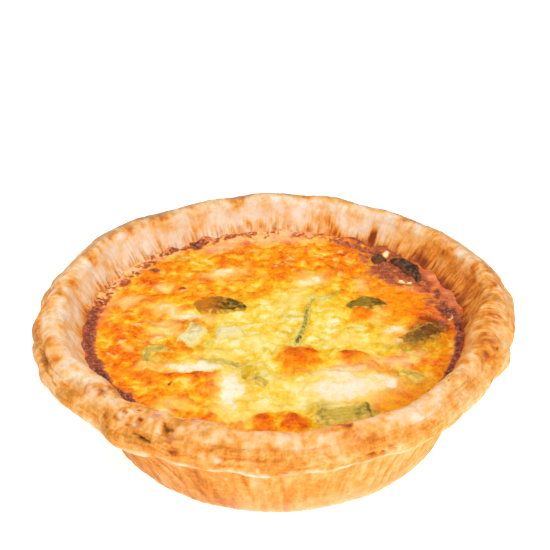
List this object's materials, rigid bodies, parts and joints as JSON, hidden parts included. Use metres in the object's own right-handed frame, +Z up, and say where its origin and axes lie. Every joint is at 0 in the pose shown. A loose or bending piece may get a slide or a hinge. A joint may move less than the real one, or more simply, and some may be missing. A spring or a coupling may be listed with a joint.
{
  "type": "individual quiche",
  "caption": "Round single-serve quiche: deep pastry case with a thick folded rim, browned egg filling, pieces of leek and leaf baked into its top.",
  "frame": {"origin": "centre of the flat underside", "axes": "+Z up; the shown front of the quiche is on the -Y side"},
  "size_m": [0.1198, 0.1202, 0.0351],
  "materials": {
    "pastry": "baked, dry and slightly sheeny, golden tan with browner valleys",
    "egg": "baked egg and cheese, moist, yellow with browned orange lumps",
    "leek_green": "baked leek and leaf, moist, olive to dark green",
    "leek_pale": "baked leek and onion, moist and half clear, pale yellow green",
    "leaf_charred": "scorched leaf, dry, nearly black"
  },
  "bodies": {
    "root": {"pastry_case": "pastry", "egg_filling": "egg", "leek_leaf_left": "leek_green", "leek_leaf_right": "leek_green", "charred_leaf_left": "leaf_charred", "charred_leaf_right": "leaf_charred", "leek_slice_right": "leek_green", "leek_strip_centre": "leek_green", "leek_fold_left": "leek_pale", "leek_shred_front_left": "leek_pale", "leek_shred_olive": "leek_green", "leek_shred_front": "leek_green", "leek_slice_front": "leek_pale", "leek_shred_front_right": "leek_pale", "onion_petal_left": "leek_pale", "onion_petal_centre": "leek_pale"}
  },
  "joints": []
}
